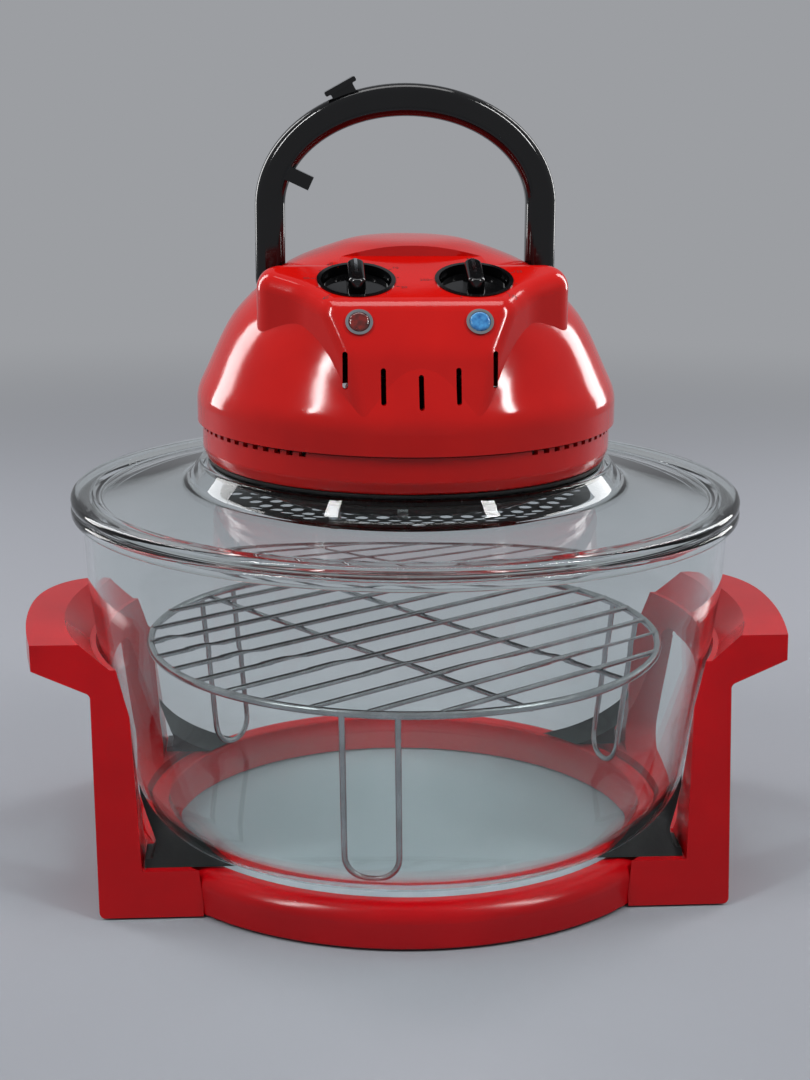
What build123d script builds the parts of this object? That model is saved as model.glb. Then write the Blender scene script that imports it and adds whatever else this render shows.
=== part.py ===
from build123d import *
from math import atan2, cos, degrees, radians, sin, sqrt
import os

os.makedirs("parts", exist_ok=True)

# A table-top halogen oven, in millimetres. The origin is on the table under the
# centre of the bowl, +Z is up and the control panel faces -Y.

# ---------------------------------------------------------------- driving sizes
running_gap = 0.3  # between curved faces of pieces that move apart
fit_gap = 0.1  # radial clearance of plugs, pegs and screws in their holes
shaft_gap = 0.05  # radial running clearance of a shaft or pivot pin
base = (Align.CENTER, Align.CENTER, Align.MIN)
hang = (Align.CENTER, Align.CENTER, Align.MAX)

# stand
stand_gap = 1.0  # the rubber feet hold the stand this far off the table
stand_top = 22.0  # top of the ring and of the four foot arms
ring_bottom_radius = 144.0
ring_top_radius = 141.8
ring_shoulder = 9.0  # rounding of the ring's outer top edge
ring_lip_radius = 127.0
ring_lip_drop = 1.5  # the ring's top slopes down to its inner lip
ring_bore_radius = 124.5
ring_wall = 3.0
ring_rib_count = 12
ring_rib_width = 2.0

foot_half_depth = 101.0  # front and rear faces of a side frame at the table
grip_half_depth = 62.5  # the same at the top, the posts lean inwards
post_depth = 25.5
post_outer_low = 154.0
post_outer_high = 158.0
post_inner_low = 133.5
post_inner_high = 141.5
grip_top = 127.5
grip_root = 104.0  # underside of the grip where it leaves the posts
grip_edge = 114.0  # underside of the grip at its outer edge
grip_corner = 186.0
grip_bulge = 194.0
window_top = 100.0
window_corner = 13.0
frame_bowl_gap = 1.2
grip_bevel_width = 13.0
grip_bevel_depth = 12.0

cradle_front_low = 89.5  # front face of a cradle at its plate
cradle_front_high = 61.0  # and at its tip, it leans more than the posts
cradle_width_low = 20.0
cradle_width_high = 10.0
cradle_plate = 3.6
cradle_top = 64.0
cradle_peg_radius = 4.0
cradle_peg_length = 5.0
cradle_peg_x = 127.5
cradle_peg_y = 80.0

lug_length = 30.0
lug_width = 14.0
lug_height = 4.0
foot_pad_radius = 6.0
foot_pad_height = 4.0
frame_screw_radius = 2.0

# glass bowl
bowl_floor = 18.0
bowl_foot_radius = 145.3  # where the wall line would meet the floor
bowl_corner = 44.0
bowl_shoulder_radius = 162.5
bowl_shoulder_z = 145.0
bowl_wall_top_radius = 164.5
bowl_glass = 4.0
flange_radius = 170.0
flange_thickness = 5.6
bowl_rim_z = 186.6

# wire rack
rack_radius = 132.0
rack_z = 113.0
rack_wire = 2.0
grid_wire = 1.3
grid_pitch = 22.0
grid_turn = 37.0
leg_radius = 121.5
leg_half_width = 13.0
leg_bottom_z = 26.6
leg_turn = -101.0

# glass lid
lid_rim_thickness = 6.0
lid_rim_step = 6.0  # the rim's raised band ends this far inside the top of the bowl's wall
lid_glass = 4.5
lid_slope_top = 197.0
neck_radius = 104.5
neck_root_radius = 112.0
neck_top_z = 207.0
neck_lip = 4.0
lid_opening_radius = 92.0
lid_skirt_depth = 4.1
lid_skirt_gap = 1.0

# lower part of the head
gasket_thickness = 2.0
lower_radius = 103.0
lower_foot_radius = 100.5
lower_wall = 3.0
lower_floor_bore = 78.0
seam_z = 228.0
seam_groove_depth = 1.2
seam_groove_height = 1.1
vent_height = 3.0
vent_width = 3.6
vent_pitch = 4.0  # degrees
vent_free_front = 30.0  # degrees each side of the front without vents

# upper housing
housing_wall = 2.5
dome_radius = 105.5
dome_points = [(101.6, 251.0), (94.7, 266.0), (85.4, 282.0), (76.6, 291.5), (64.0, 303.0), (38.0, 314.5)]
dome_skirt_z = 238.0
dome_top = 319.0
panel_back_y = -30.0
panel_top_z = 312.0
panel_knee_y = -78.0
panel_knee_z = 295.8
panel_brow_y = -92.0
panel_brow_z = 274.0
panel_chin_y = -101.8
panel_chin_z = 243.0
panel_foot_y = -102.0
panel_plan_front = -106.0
lobe_half_width = 75.0
lobe_waist_y = -49.0
lobe_rounding = 12.0
panel_edge_rounding = 9.0
slot_width = 2.4
slot_pitch = 17.4
slot_spans = [(257.5, 274.6), (251.0, 267.5), (249.0, 264.5), (251.0, 267.5), (257.5, 274.6)]

# knobs and lamps
control_x = 28.0
knob_y = -55.5
dish_radius = 17.6
dish_floor_radius = 16.8
dish_depth = 7.0
liner_wall = 0.85
liner_rim_width = 1.1
liner_rim_height = 0.6
knob_radius = 15.6
knob_skirt = 3.0
grip_width = 9.0
grip_height = 12.5
knob_shaft_radius = 3.0
knob_shaft_length = 13.0
pointer_width = 1.6
pointer_length = 13.8
pointer_middle = 4.4  # out from the knob's axis
unit_size = 30.0
unit_corner = 6.0
unit_depth = 24.0
lamp_lens_radius = 4.9
lamp_bezel_radius = 6.4
lamp_rise = 2.6  # up the brow from its middle

# carry handle
handle_y = 10.0
pivot_z = 298.0
handle_half_width = 75.5
handle_band = 15.0
handle_top_band = 16.0
handle_spring_z = 333.0  # where the straight legs turn into the arch
handle_top_z = 393.0
handle_depth = 14.0
handle_edge = 5.0
handle_cover_depth = 5.0
handle_cover_foot = 312.0
pivot_pin_radius = 4.0
channel_gap = 1.0
finger_x = -54.0
finger_z = 347.0
finger_angle = -25.0
button_x = -31.0
button_tilt = 29.0
button_neck = (12.0, 8.0)
button_plate = (17.0, 11.0, 2.5)
button_lift = 2.8

# lamp chamber, fans and motor
guard_radius = 95.0
guard_z = 187.0
guard_sheet = 1.0
guard_hole_radius = 3.6
guard_rings = [(20.0, 8), (36.0, 14), (52.0, 20), (68.0, 26)]
standoff_circle = 85.5
standoff_radius = 3.0
standoff_angles = [-117.0, 3.0, 123.0]
clamp_sheet = 1.6
clamp_inner = 81.5
clamp_outer = 99.5
lamp_circle = 74.0
lamp_radius = 4.2
lamp_z = 195.6
lamp_gap_angle = 36.0
dish_rim_radius = 80.5
dish_sheet = 1.0
chassis_radius = 86.0
chassis_sheet = 1.2
shaft_radius = 2.5
press_gap = 0.02  # radial clearance of the pieces fixed on the motor shaft
cooling_fan_radius = 51.0
cooling_hub_radius = 11.0
cooling_blade_count = 7
cooling_blade_width = 14.0
cooling_blade_pitch = 28.0  # degrees that the blades are twisted from level
hot_fan_radius = 60.0
hot_hub_radius = 8.0
hot_blade_count = 8
hot_blade_height = 8.0
motor_plate_z = 229.0
motor_plate_radius = 66.0
motor_post_circle = 60.0
stator_size = 56.0
stator_height = 18.0
rotor_radius = 13.0

# rear inlet and safety switch
inlet_width = 31.0
inlet_height = 24.0
inlet_depth = 20.0
inlet_z = 249.0
plunger_radius = 2.4
plunger_travel = 2.4
plunger_y = 30.0


# ---------------------------------------------------------------- shared outlines
def bowl_outline(inset, top):
    """Half section of the bowl's body, drawn inset from its outer face."""
    FilletPolyline(
        (0, bowl_floor + inset),
        (bowl_foot_radius - inset, bowl_floor + inset),
        (bowl_shoulder_radius - inset, bowl_shoulder_z),
        (bowl_wall_top_radius - inset, top),
        (0, top),
        radius=[0, bowl_corner - inset, 60, 0, 0],
        close=True,
    )


def bowl_body(inset, top):
    with BuildPart() as body:
        with BuildSketch(Plane.XZ):
            with BuildLine():
                bowl_outline(inset, top)
            make_face()
        revolve(axis=Axis.Z)
    return body.part


def turned_ring(inner, outer, bottom, top):
    """A plain ring about the Z axis, for sheet rings, discs and gaskets."""
    with BuildPart() as ring:
        with BuildSketch(Plane.XY.offset(bottom)):
            Circle(outer)
            if inner > 0:
                Circle(inner, mode=Mode.SUBTRACT)
        extrude(amount=top - bottom)
    return ring


def screws_at(places, head_z, head_radius, head_height, shank_radius, shank_length):
    """Screws with their heads at head_z and their shanks pointing up."""
    with BuildPart() as screws:
        with Locations(*[(x, y, head_z) for x, y in places]):
            Cylinder(head_radius, head_height, align=base)
        with Locations(*[(x, y, head_z + head_height) for x, y in places]):
            Cylinder(shank_radius, shank_length, align=base)
    return screws


def on_circle(radius, angles):
    return [(radius * cos(radians(a)), radius * sin(radians(a))) for a in angles]


bowl_lid_face = bowl_rim_z
frame_clearance = bowl_body(-frame_bowl_gap, bowl_rim_z)
cradle_clearance = bowl_body(-running_gap, bowl_rim_z)

# ---------------------------------------------------------------- stand
corner_x = post_outer_low - 8.0  # rubber feet under the posts
frame_lean = (foot_half_depth - grip_half_depth) / grip_top  # depth lost per height
corner_y = 84.0
ring_foot_circle = (ring_bore_radius + ring_bottom_radius) / 2
lug_x = 122.0
lug_screw_x = 124.5
corners = [(sx, sy) for sx in (1, -1) for sy in (-1, 1)]

with BuildPart() as base_ring:
    with BuildSketch(Plane.XZ):
        with BuildLine():
            FilletPolyline(
                (ring_bore_radius, stand_gap),
                (ring_bottom_radius, stand_gap),
                (ring_top_radius, stand_top),
                (ring_lip_radius, stand_top - ring_lip_drop),
                radius=[0, 1, ring_shoulder, 1.5],
                close=True,
            )
        make_face()
    revolve(axis=Axis.Z)
    with BuildSketch(Plane.XZ):
        with BuildLine():
            FilletPolyline(
                (ring_bore_radius + ring_wall, stand_gap),
                (ring_bottom_radius - ring_wall, stand_gap),
                (ring_top_radius - ring_wall - 1, stand_top - ring_wall - 2),
                (ring_lip_radius + ring_wall, stand_top - ring_wall - 2.5),
                radius=[0, 0, ring_shoulder - ring_wall, 2],
                close=True,
            )
        make_face()
    revolve(axis=Axis.Z, mode=Mode.SUBTRACT)
    with PolarLocations(ring_foot_circle, ring_rib_count, start_angle=15):
        with Locations((0, 0, stand_gap)):
            Box(ring_bottom_radius - ring_bore_radius - 4, ring_rib_width, 15, align=base)
    with PolarLocations(ring_foot_circle, 4):
        with Locations((0, 0, foot_pad_height)):
            Cylinder(foot_pad_radius + 1, 13, align=base)
    with Locations(*[(sx * lug_x, sy * corner_y, stand_gap) for sx, sy in corners]):
        Box(lug_length, lug_width, lug_height, align=base)
    with Locations(*[(sx * lug_screw_x, sy * corner_y, stand_gap) for sx, sy in corners]):
        Cylinder(frame_screw_radius + fit_gap, 2 * lug_height, mode=Mode.SUBTRACT)
        Cylinder(2 * frame_screw_radius + fit_gap, 4, mode=Mode.SUBTRACT)
base_ring.part.label = "base_ring"

with BuildPart() as ring_envelope:
    with BuildSketch(Plane.XZ):
        Polygon(
            (0, 0),
            (ring_bottom_radius + fit_gap, 0),
            (ring_bottom_radius + fit_gap, stand_gap),
            (ring_top_radius + fit_gap, stand_top + 1),
            (0, stand_top + 1),
            align=None,
        )
    revolve(axis=Axis.Z)

with BuildPart() as right_side_frame:
    with BuildSketch(Plane.XZ):
        with BuildLine():
            FilletPolyline(
                (lug_x - lug_length / 2 - 3, stand_gap),
                (post_outer_low, stand_gap),
                (post_outer_high, grip_root),
                (grip_corner - 3, grip_edge),
                (grip_bulge + 1, grip_edge + 5),
                (grip_bulge + 1, grip_top),
                (post_inner_high, grip_top),
                (post_inner_low, stand_top),
                (lug_x - lug_length / 2 - 3, stand_top),
                radius=[0, 3, 3, 4, 2, 0, 0, 0.5, 0],
                close=True,
            )
        make_face()
    extrude(amount=foot_half_depth, both=True)
    with BuildSketch(Plane.YZ):
        Polygon(
            (-foot_half_depth, 0),
            (foot_half_depth, 0),
            (grip_half_depth, grip_top),
            (-grip_half_depth, grip_top),
            align=None,
        )
    extrude(amount=grip_bulge + 10, mode=Mode.INTERSECT)
    with BuildSketch(Plane.XY):
        with BuildLine():
            outer_edge = Spline(
                (grip_corner, -grip_half_depth - 6),
                (grip_bulge, 5),
                (grip_corner + 1, 44),
                (grip_corner - 22, grip_half_depth + 2),
                tangents=[(0.2, 1), (-1, 0.25)],
            )
            Polyline(
                outer_edge @ 1,
                (post_outer_high + 1, grip_half_depth + 3),
                (post_outer_high + 1, foot_half_depth + 1),
                (90, foot_half_depth + 1),
                (90, -foot_half_depth - 1),
                (grip_corner, -foot_half_depth - 1),
                outer_edge @ 0,
            )
        make_face()
    extrude(amount=grip_top + 1, mode=Mode.INTERSECT)
    with BuildSketch(Plane.YZ):
        with BuildLine():
            FilletPolyline(
                (foot_half_depth - post_depth - frame_lean * stand_top, stand_top),
                (foot_half_depth - post_depth - frame_lean * window_top, window_top),
                (post_depth - foot_half_depth + frame_lean * window_top, window_top),
                (post_depth - foot_half_depth + frame_lean * stand_top, stand_top),
                radius=window_corner,
                close=True,
            )
        make_face()
    extrude(amount=grip_bulge + 10, mode=Mode.SUBTRACT)
    add(frame_clearance, mode=Mode.SUBTRACT)
    add(ring_envelope.part, mode=Mode.SUBTRACT)
    with BuildSketch(Plane.XZ):
        Polygon(
            (bowl_shoulder_radius - 10, grip_top - grip_bevel_depth),
            (bowl_shoulder_radius, grip_top - grip_bevel_depth),
            (bowl_shoulder_radius + grip_bevel_width, grip_top + 0.5),
            (bowl_shoulder_radius - 10, grip_top + 0.5),
            align=None,
        )
    revolve(axis=Axis.Z, mode=Mode.SUBTRACT)
    with Locations(*[(lug_x, sy * corner_y, 0) for sy in (-1, 1)]):
        Box(
            lug_length + 0.4,
            lug_width + 0.4,
            stand_gap + lug_height + fit_gap,
            align=base,
            mode=Mode.SUBTRACT,
        )
    with Locations(*[(lug_screw_x, sy * corner_y, 0) for sy in (-1, 1)]):
        Cylinder(frame_screw_radius + fit_gap, 15, align=base, mode=Mode.SUBTRACT)
    with Locations(*[(corner_x, sy * corner_y, 0) for sy in (-1, 1)]):
        Cylinder(foot_pad_radius + fit_gap, foot_pad_height, align=base, mode=Mode.SUBTRACT)
    with Locations(*[(cradle_peg_x, sy * cradle_peg_y, stand_top) for sy in (-1, 1)]):
        Cylinder(
            cradle_peg_radius + fit_gap, cradle_peg_length + 0.5, align=hang, mode=Mode.SUBTRACT
        )
right_side_frame.part.label = "right_side_frame"

with BuildPart() as left_side_frame:
    mirror(right_side_frame.part, about=Plane.YZ)
left_side_frame.part.label = "left_side_frame"

with BuildPart() as front_right_cradle:
    with BuildSketch(Plane.XZ):
        with BuildLine():
            FilletPolyline(
                (84, stand_top),
                (post_inner_low - 1.1, stand_top),
                (post_inner_low - 1.1, stand_top + cradle_plate),
                (128.5, stand_top + cradle_plate),
                (127, 33),
                (131.5, 43),
                (135.0, 52),
                (136.4, cradle_top),
                (84, cradle_top),
                radius=[0, 0, 0.8, 2, 5, 8, 8, 0.5, 0],
                close=True,
            )
        make_face()
    extrude(amount=foot_half_depth)
    with BuildSketch(Plane.YZ):
        Polygon(
            (-cradle_front_low, stand_top),
            (-cradle_front_high, cradle_top),
            (-cradle_front_high + cradle_width_high, cradle_top),
            (-cradle_front_low + cradle_width_low, stand_top),
            align=None,
        )
    extrude(amount=grip_bulge, mode=Mode.INTERSECT)
    add(cradle_clearance, mode=Mode.SUBTRACT)
    with Locations((cradle_peg_x, -cradle_peg_y, stand_top)):
        Cylinder(cradle_peg_radius, cradle_peg_length, align=hang)
front_right_cradle.part.label = "front_right_cradle"

with BuildPart() as front_left_cradle:
    mirror(front_right_cradle.part, about=Plane.YZ)
front_left_cradle.part.label = "front_left_cradle"

with BuildPart() as rear_right_cradle:
    mirror(front_right_cradle.part, about=Plane.XZ)
rear_right_cradle.part.label = "rear_right_cradle"

with BuildPart() as rear_left_cradle:
    mirror(front_left_cradle.part, about=Plane.XZ)
rear_left_cradle.part.label = "rear_left_cradle"

with BuildPart() as rubber_feet:
    with PolarLocations(ring_foot_circle, 4):
        Cylinder(foot_pad_radius, foot_pad_height, align=base)
    with Locations(*[(sx * corner_x, sy * corner_y, 0) for sx, sy in corners]):
        Cylinder(foot_pad_radius, foot_pad_height, align=base)
rubber_feet.part.label = "rubber_feet"

frame_screws = screws_at(
    [(sx * lug_screw_x, sy * corner_y) for sx, sy in corners],
    stand_gap, 2 * frame_screw_radius, 2.0, frame_screw_radius, 11.5,
)
frame_screws.part.label = "frame_screws"

# ---------------------------------------------------------------- bowl and rack
with BuildPart() as glass_bowl:
    add(bowl_body(0, bowl_rim_z))
    with BuildSketch(Plane.XZ):
        with BuildLine():
            FilletPolyline(
                (bowl_wall_top_radius - bowl_glass, bowl_rim_z - flange_thickness),
                (flange_radius, bowl_rim_z - flange_thickness),
                (flange_radius, bowl_rim_z),
                (bowl_wall_top_radius - bowl_glass, bowl_rim_z),
                radius=[0, 2.4, 2.0, 0],
                close=True,
            )
        make_face()
    revolve(axis=Axis.Z)
    add(bowl_body(bowl_glass, bowl_rim_z + 1), mode=Mode.SUBTRACT)
glass_bowl.part.label = "glass_bowl"

with BuildPart() as wire_rack:
    with Locations((0, 0, rack_z)):
        Torus(rack_radius, rack_wire)
    grid_rows = int(rack_radius // grid_pitch)
    for row in range(-grid_rows, grid_rows + 1):
        offset_y = row * grid_pitch
        half = sqrt(max(rack_radius**2 - offset_y**2, 0))
        if half > leg_half_width:
            with Locations(Location((0, 0, rack_z + grid_wire), (0, 0, grid_turn))):
                with Locations((0, offset_y, 0)):
                    Cylinder(grid_wire, 2 * half, rotation=(0, 90, 0))
    with Locations(Location((0, 0, rack_z - grid_wire), (0, 0, grid_turn + 90))):
        for offset_y in (-1.5 * grid_pitch, 1.5 * grid_pitch):
            with Locations((0, offset_y, 0)):
                Cylinder(grid_wire, 2 * sqrt(rack_radius**2 - offset_y**2), rotation=(0, 90, 0))
    for leg in range(3):
        leg_plane = Plane.XY.rotated((0, 0, leg_turn + 120 * leg)).offset(0)
        with BuildLine(leg_plane) as leg_wire:
            FilletPolyline(
                (rack_radius, -leg_half_width, rack_z),
                (leg_radius, -leg_half_width, leg_bottom_z),
                (leg_radius, leg_half_width, leg_bottom_z),
                (rack_radius, leg_half_width, rack_z),
                radius=leg_half_width - 1,
            )
        with BuildSketch(Plane(origin=leg_wire.line @ 0, z_dir=leg_wire.line % 0)):
            Circle(grid_wire + 0.2)
        sweep(path=leg_wire.line)
wire_rack.part.label = "wire_rack"

# ---------------------------------------------------------------- glass lid
lid_top_z = bowl_rim_z + lid_rim_thickness
rim_inner = bowl_wall_top_radius - lid_rim_step
skirt_outer = bowl_wall_top_radius - bowl_glass - lid_skirt_gap
with BuildPart() as glass_lid:
    with BuildSketch(Plane.XZ):
        with BuildLine():
            FilletPolyline(
                (flange_radius, bowl_lid_face),
                (flange_radius, lid_top_z),
                (rim_inner, lid_top_z),
                (rim_inner - 3.5, lid_top_z - 2),
                (neck_root_radius, lid_slope_top),
                (neck_radius, neck_top_z),
                (lid_opening_radius, neck_top_z),
                (lid_opening_radius, neck_top_z - neck_lip),
                (neck_radius - neck_lip + 0.5, neck_top_z - neck_lip),
                (neck_root_radius - lid_glass, lid_slope_top - lid_glass + 0.4),
                (rim_inner - 4, lid_top_z - 2 - lid_glass),
                (skirt_outer - 4, bowl_lid_face - lid_skirt_depth),
                (skirt_outer, bowl_lid_face - lid_skirt_depth),
                (skirt_outer, bowl_lid_face),
                radius=[2.0, 2.8, 1.5, 2, 8, 2, 1.2, 1.2, 2, 6, 1, 1.2, 1.2, 0],
                close=True,
            )
        make_face()
    revolve(axis=Axis.Z)
glass_lid.part.label = "glass_lid"

housing_floor_z = neck_top_z + gasket_thickness
lid_gasket = turned_ring(lid_opening_radius + 0.5, neck_radius - 0.5, neck_top_z, housing_floor_z)
lid_gasket.part.label = "lid_gasket"

clamp_top_z = neck_top_z - neck_lip
clamp_screw_circle = (dish_rim_radius + lid_opening_radius) / 2
clamp_screw_angles = [25 + 60 * i for i in range(6)]
with BuildPart() as clamp_ring:
    with BuildSketch(Plane.XY.offset(clamp_top_z - clamp_sheet)):
        Circle(clamp_outer)
        Circle(clamp_inner, mode=Mode.SUBTRACT)
        with Locations(*on_circle(clamp_screw_circle, clamp_screw_angles)):
            Circle(2 + fit_gap, mode=Mode.SUBTRACT)
    extrude(amount=clamp_sheet)
clamp_ring.part.label = "clamp_ring"

clamp_screws = screws_at(
    on_circle(clamp_screw_circle, clamp_screw_angles),
    clamp_top_z - clamp_sheet - 2, 3.6, 2.0, 2.0, 14.0,
)
clamp_screws.part.label = "clamp_screws"

# ---------------------------------------------------------------- lower housing
housing_floor = 3.0
floor_top_z = housing_floor_z + housing_floor
boss_circle = 91.0
boss_radius = 5.0
boss_angles = [45, 135, 225, 315]
vent_count = int((360 - 2 * vent_free_front) // vent_pitch)
vent_start = -90 + vent_free_front + (360 - 2 * vent_free_front - vent_count * vent_pitch) / 2
with BuildPart() as lower_housing:
    with BuildSketch(Plane.XZ):
        with BuildLine():
            FilletPolyline(
                (lower_floor_bore, housing_floor_z),
                (lower_foot_radius, housing_floor_z),
                (lower_radius, housing_floor_z + 6),
                (lower_radius, seam_z),
                (lower_radius - lower_wall, seam_z),
                (lower_radius - lower_wall, floor_top_z),
                (lower_floor_bore, floor_top_z),
                radius=[0.5, 2, 4, 0.8, 0, 2, 0.5],
                close=True,
            )
        make_face()
    revolve(axis=Axis.Z)
    with Locations(*[(x, y, housing_floor_z) for x, y in on_circle(boss_circle, boss_angles)]):
        Cylinder(boss_radius, seam_z - housing_floor_z, align=base)
        Cylinder(2 + fit_gap, seam_z - housing_floor_z, align=base, mode=Mode.SUBTRACT)
        Cylinder(4 + fit_gap, 2.5, align=base, mode=Mode.SUBTRACT)
    with Locations(*on_circle(clamp_screw_circle, clamp_screw_angles)):
        with Locations((0, 0, housing_floor_z)):
            Cylinder(2 + fit_gap, 2 * housing_floor, align=base, mode=Mode.SUBTRACT)
    with PolarLocations(lower_radius, vent_count, start_angle=vent_start + vent_pitch / 2,
                        angular_range=(vent_count - 1) * vent_pitch, endpoint=True):
        with Locations((0, 0, seam_z)):
            Box(2.6 * lower_wall, vent_width, vent_height, align=hang, mode=Mode.SUBTRACT)
    # a shadow groove all round under the seam
    with BuildSketch(Plane.XZ):
        with Locations((lower_radius, seam_z)):
            Rectangle(2 * seam_groove_depth, seam_groove_height,
                      align=(Align.CENTER, Align.MAX))
    revolve(axis=Axis.Z, mode=Mode.SUBTRACT)
lower_housing.part.label = "lower_housing"

housing_screws = screws_at(
    on_circle(boss_circle, boss_angles), housing_floor_z + 0.2, 4.0, 2.3, 2.0, 26.0
)
housing_screws.part.label = "housing_screws"

# ---------------------------------------------------------------- upper housing
panel_angle = degrees(atan2(panel_top_z - panel_knee_z, panel_back_y - panel_knee_y))
knob_z = panel_top_z - (panel_back_y - knob_y) * sin(radians(panel_angle)) / cos(radians(panel_angle))
lamp_angle = degrees(atan2(panel_knee_z - panel_brow_z, panel_knee_y - panel_brow_y))
lamp_y = (panel_knee_y + panel_brow_y) / 2 + lamp_rise * cos(radians(lamp_angle))
lamp_centre_z = (panel_knee_z + panel_brow_z) / 2 + lamp_rise * sin(radians(lamp_angle))


def tilted_plane(x, y, z, angle):
    """A plane on the panel, facing up and forwards, angle degrees from level."""
    return Plane(origin=(x, y, z), x_dir=(1, 0, 0), z_dir=(0, -sin(radians(angle)), cos(radians(angle))))


timer_plane = tilted_plane(-control_x, knob_y, knob_z, panel_angle)
temperature_plane = tilted_plane(control_x, knob_y, knob_z, panel_angle)
knob_planes = [timer_plane, temperature_plane]
lamp_planes = [tilted_plane(sx * control_x, lamp_y, lamp_centre_z, lamp_angle) for sx in (-1, 1)]


def dome_solid(inset):
    """The turned dome, shrunk towards its centre by inset."""
    points = [(r - inset * r / 100, z - inset * (z - seam_z) / 88) for r, z in dome_points]
    with BuildPart() as dome:
        with BuildSketch(Plane.XZ):
            with BuildLine():
                side = Line((dome_radius - inset, seam_z), (dome_radius - inset, dome_skirt_z))
                crown = Spline(
                    side @ 1, *points, (0, dome_top - inset), tangents=[(0, 1), (-1, 0)]
                )
                Polyline(crown @ 1, (0, seam_z), side @ 0)
            make_face()
        revolve(axis=Axis.Z)
    return dome.part


def panel_side(shrink, reach):
    """Side view of the space under the panel's face, as a prism across the head."""
    with BuildPart() as prism:
        with BuildSketch(Plane.YZ):
            with BuildLine():
                FilletPolyline(
                    (panel_back_y, panel_top_z),
                    (panel_knee_y, panel_knee_z),
                    (panel_brow_y, panel_brow_z),
                    (panel_chin_y, panel_chin_z),
                    (panel_foot_y, seam_z),
                    (panel_back_y, seam_z),
                    radius=[0, 14, 30, 40, 0, 0],
                    close=True,
                )
            make_face()
            if shrink > 0:
                offset(amount=-shrink)
        extrude(amount=reach, both=True)
    return prism.part


def panel_plan(shrink, height):
    """Plan view of the panel with its two rounded lobes, as a prism."""
    with BuildPart() as prism:
        with BuildSketch(Plane.XY.offset(seam_z)):
            with BuildLine():
                FilletPolyline(
                    (lobe_half_width, panel_back_y),
                    (lobe_half_width, lobe_waist_y),
                    (56, -62),
                    (37, -89),
                    (26, panel_plan_front),
                    (-26, panel_plan_front),
                    (-37, -89),
                    (-56, -62),
                    (-lobe_half_width, lobe_waist_y),
                    (-lobe_half_width, panel_back_y),
                    radius=[lobe_rounding, lobe_rounding, 30, 20, 2,
                            2, 20, 30, lobe_rounding, lobe_rounding],
                    close=True,
                )
            make_face()
            if shrink > 0:
                offset(amount=-shrink)
        extrude(amount=height)
    return prism.part


with BuildPart() as panel_hood:
    add(panel_side(0, lobe_half_width + 5))
    add(panel_plan(0, dome_top - seam_z + 5), mode=Mode.INTERSECT)
    side_walls = panel_hood.faces().filter_by(lambda f: abs(f.normal_at().Z) < 0.05)
    top_faces = panel_hood.faces().filter_by(lambda f: f.normal_at().Z > 0.1)
    rim = [e for e in top_faces.edges() if any(e.is_same(w) for w in side_walls.edges())]
    fillet([e for e in rim if abs(e.center().X) > 20 and e.center().Z > 250], panel_edge_rounding)


channel_inner = handle_half_width - handle_band - channel_gap  # crown side of the handle's channel
channel_floor = pivot_z - handle_depth / 2 - channel_gap
channel_front = handle_y - handle_depth / 2 - channel_gap
channel_wall = 2.4

with BuildPart() as housing_cavity:
    add(dome_solid(housing_wall))
    with BuildSketch(Plane.YZ):
        Polygon(
            (-dome_radius - 5, dome_top + 5),
            (panel_back_y + housing_wall, dome_top + 5),
            (panel_back_y + housing_wall, panel_top_z - housing_wall),
            (panel_back_y - housing_wall, panel_top_z - 2 * housing_wall),
            (panel_back_y - housing_wall, seam_z),
            (-dome_radius - 5, seam_z),
            align=None,
        )
    extrude(amount=dome_radius + 5, both=True, mode=Mode.SUBTRACT)
    front_cavity = (
        panel_side(housing_wall, lobe_half_width + 5)
        & panel_plan(panel_edge_rounding - 1.5, dome_top - seam_z)
    ) + (
        dome_solid(housing_wall)
        & panel_side(housing_wall, dome_radius)
    )
    add(front_cavity)
    with Locations((0, 0, seam_z)):
        Cylinder(dome_radius - 6, 6, align=base)
    # walls of the two channels that the handle's legs stand in
    for sx in (1, -1):
        with Locations((sx * (channel_inner - channel_wall), channel_front - channel_wall,
                        channel_floor - channel_wall)):
            Box(60, 60, 60, align=(Align.MIN if sx > 0 else Align.MAX, Align.MIN, Align.MIN),
                mode=Mode.SUBTRACT)
    # cups around the knob dishes, and bosses for the screws
    for plane in knob_planes:
        with Locations(plane.offset(-1.2).location):
            Cylinder(dish_radius + 2, dish_depth + 1, align=hang, mode=Mode.SUBTRACT)
    with Locations(*[(x, y, seam_z) for x, y in on_circle(boss_circle, boss_angles)]):
        Cylinder(boss_radius, 60, align=base, mode=Mode.SUBTRACT)

inlet_face = dome_radius - 1.0  # flat surround of the mains inlet at the rear
inlet_wall = 3.0
plunger_x = -64.0
unit_top = -(dish_depth + 2.2)
pin_head = 2.0
screw_hole_top = seam_z + 11.0

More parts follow.
